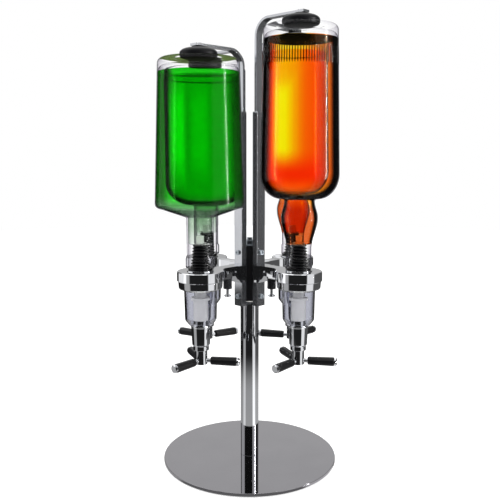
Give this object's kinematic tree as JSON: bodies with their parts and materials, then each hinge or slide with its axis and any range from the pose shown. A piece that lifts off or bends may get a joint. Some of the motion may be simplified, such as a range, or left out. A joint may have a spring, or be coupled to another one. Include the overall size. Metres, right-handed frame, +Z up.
{
  "type": "rotary liquor dispenser",
  "caption": "Free-standing rotary liquor dispenser: a turning head on a column carries inverted bottles under sprung straps, each with a push-up spirit measure.",
  "frame": {"origin": "middle of the base's underside, on the surface that the stand rests on", "axes": "+Z up along the column, front towards -Y, +X to the right of someone facing the front"},
  "size_m": [0.2, 0.2, 0.5008],
  "materials": {
    "dark_chrome": "dark mirror chrome",
    "chrome": "mirror chrome",
    "steel": "plain turned steel",
    "black_rubber": "satin rubber",
    "black_plastic": "satin moulding",
    "nylon": "natural nylon",
    "bronze": "sintered bronze",
    "clear_glass": "clear bottle glass",
    "clear_plastic": "clear moulded plastic",
    "milky_plastic": "translucent white plastic",
    "green_liquid": "clear green liquid",
    "amber_liquid": "clear amber liquid"
  },
  "bodies": {
    "stand": {"base_plate": "dark_chrome", "base_pad": "black_rubber", "base_bolt": "steel", "column_tube": "chrome", "foot_plug": "steel", "spindle": "steel", "thrust_washer": "nylon", "top_nut": "steel"},
    "carousel": {"hub_core": "black_plastic", "hub_bush": "bronze", "frame_screws": "chrome", "release_bushes": "chrome", "stoppers": "black_rubber", "measure_collars": "chrome", "measure_chambers": "clear_plastic", "dose_tubes": "milky_plastic", "nozzles": "chrome", "green_liquid": "green_liquid", "amber_liquid": "amber_liquid", "valve_springs": "steel", "strap_springs": "steel", "release_springs": "steel", "rail_front_left": "chrome", "rail_front_right": "chrome", "rail_rear_right": "chrome", "rail_rear_left": "chrome", "bracket_front_left": "chrome", "bracket_front_right": "chrome", "bracket_rear_right": "chrome", "bracket_rear_left": "chrome", "bottle_front_left": "clear_glass", "bottle_front_right": "clear_glass", "bottle_rear_right": "clear_glass", "bottle_rear_left": "clear_glass"},
    "strap_front_left": {"strap_front_left": "chrome", "pad_front_left": "black_rubber"},
    "valve_front_left": {"valve_front_left": "milky_plastic"},
    "lever_front_left": {"lever_front_left": "chrome", "grips_front_left": "black_plastic"},
    "release_front_left": {"release_pin_front_left": "chrome"},
    "strap_front_right": {"strap_front_right": "chrome", "pad_front_right": "black_rubber"},
    "valve_front_right": {"valve_front_right": "milky_plastic"},
    "lever_front_right": {"lever_front_right": "chrome", "grips_front_right": "black_plastic"},
    "release_front_right": {"release_pin_front_right": "chrome"},
    "strap_rear_right": {"strap_rear_right": "chrome", "pad_rear_right": "black_rubber"},
    "valve_rear_right": {"valve_rear_right": "milky_plastic"},
    "lever_rear_right": {"lever_rear_right": "chrome", "grips_rear_right": "black_plastic"},
    "release_rear_right": {"release_pin_rear_right": "chrome"},
    "strap_rear_left": {"strap_rear_left": "chrome", "pad_rear_left": "black_rubber"},
    "valve_rear_left": {"valve_rear_left": "milky_plastic"},
    "lever_rear_left": {"lever_rear_left": "chrome", "grips_rear_left": "black_plastic"},
    "release_rear_left": {"release_pin_rear_left": "chrome"}
  },
  "joints": [
    {"name": "carousel_spin", "type": "hinge", "parent": "stand", "child": "carousel", "pos_m": [0, 0, 0.2], "axis": [0, 0, 1], "continuous": true},
    {"name": "strap_lift_front_left", "type": "slide", "parent": "carousel", "child": "strap_front_left", "axis": [0, 0, 1], "range_m": [0, 0.06], "stiffness_N_per_m": 60, "springref_m": -0.05, "deforming": ["strap_springs"]},
    {"name": "push_front_left", "type": "slide", "parent": "carousel", "child": "valve_front_left", "axis": [0, 0, 1], "range_m": [0, 0.008], "stiffness_N_per_m": 500, "springref_m": -0.006, "deforming": ["valve_springs"]},
    {"name": "lever_spin_front_left", "type": "hinge", "parent": "valve_front_left", "child": "lever_front_left", "pos_m": [-0.05233, -0.05233, 0.133], "axis": [0, 0, 1], "continuous": true},
    {"name": "release_front_left", "type": "slide", "parent": "carousel", "child": "release_front_left", "axis": [0, 0, -1], "range_m": [0, 0.0042], "stiffness_N_per_m": 300, "springref_m": -0.004, "deforming": ["release_springs"]},
    {"name": "strap_lift_front_right", "type": "slide", "parent": "carousel", "child": "strap_front_right", "axis": [0, 0, 1], "range_m": [0, 0.06], "stiffness_N_per_m": 60, "springref_m": -0.05, "deforming": ["strap_springs"]},
    {"name": "push_front_right", "type": "slide", "parent": "carousel", "child": "valve_front_right", "axis": [0, 0, 1], "range_m": [0, 0.008], "stiffness_N_per_m": 500, "springref_m": -0.006, "deforming": ["valve_springs"]},
    {"name": "lever_spin_front_right", "type": "hinge", "parent": "valve_front_right", "child": "lever_front_right", "pos_m": [0.05233, -0.05233, 0.133], "axis": [0, 0, 1], "continuous": true},
    {"name": "release_front_right", "type": "slide", "parent": "carousel", "child": "release_front_right", "axis": [0, 0, -1], "range_m": [0, 0.0042], "stiffness_N_per_m": 300, "springref_m": -0.004, "deforming": ["release_springs"]},
    {"name": "strap_lift_rear_right", "type": "slide", "parent": "carousel", "child": "strap_rear_right", "axis": [0, 0, 1], "range_m": [0, 0.06], "stiffness_N_per_m": 60, "springref_m": -0.05, "deforming": ["strap_springs"]},
    {"name": "push_rear_right", "type": "slide", "parent": "carousel", "child": "valve_rear_right", "axis": [0, 0, 1], "range_m": [0, 0.008], "stiffness_N_per_m": 500, "springref_m": -0.006, "deforming": ["valve_springs"]},
    {"name": "lever_spin_rear_right", "type": "hinge", "parent": "valve_rear_right", "child": "lever_rear_right", "pos_m": [0.05233, 0.05233, 0.133], "axis": [0, 0, 1], "continuous": true},
    {"name": "release_rear_right", "type": "slide", "parent": "carousel", "child": "release_rear_right", "axis": [0, 0, -1], "range_m": [0, 0.0042], "stiffness_N_per_m": 300, "springref_m": -0.004, "deforming": ["release_springs"]},
    {"name": "strap_lift_rear_left", "type": "slide", "parent": "carousel", "child": "strap_rear_left", "axis": [0, 0, 1], "range_m": [0, 0.06], "stiffness_N_per_m": 60, "springref_m": -0.05, "deforming": ["strap_springs"]},
    {"name": "push_rear_left", "type": "slide", "parent": "carousel", "child": "valve_rear_left", "axis": [0, 0, 1], "range_m": [0, 0.008], "stiffness_N_per_m": 500, "springref_m": -0.006, "deforming": ["valve_springs"]},
    {"name": "lever_spin_rear_left", "type": "hinge", "parent": "valve_rear_left", "child": "lever_rear_left", "pos_m": [-0.05233, 0.05233, 0.133], "axis": [0, 0, 1], "continuous": true},
    {"name": "release_rear_left", "type": "slide", "parent": "carousel", "child": "release_rear_left", "axis": [0, 0, -1], "range_m": [0, 0.0042], "stiffness_N_per_m": 300, "springref_m": -0.004, "deforming": ["release_springs"]}
  ]
}
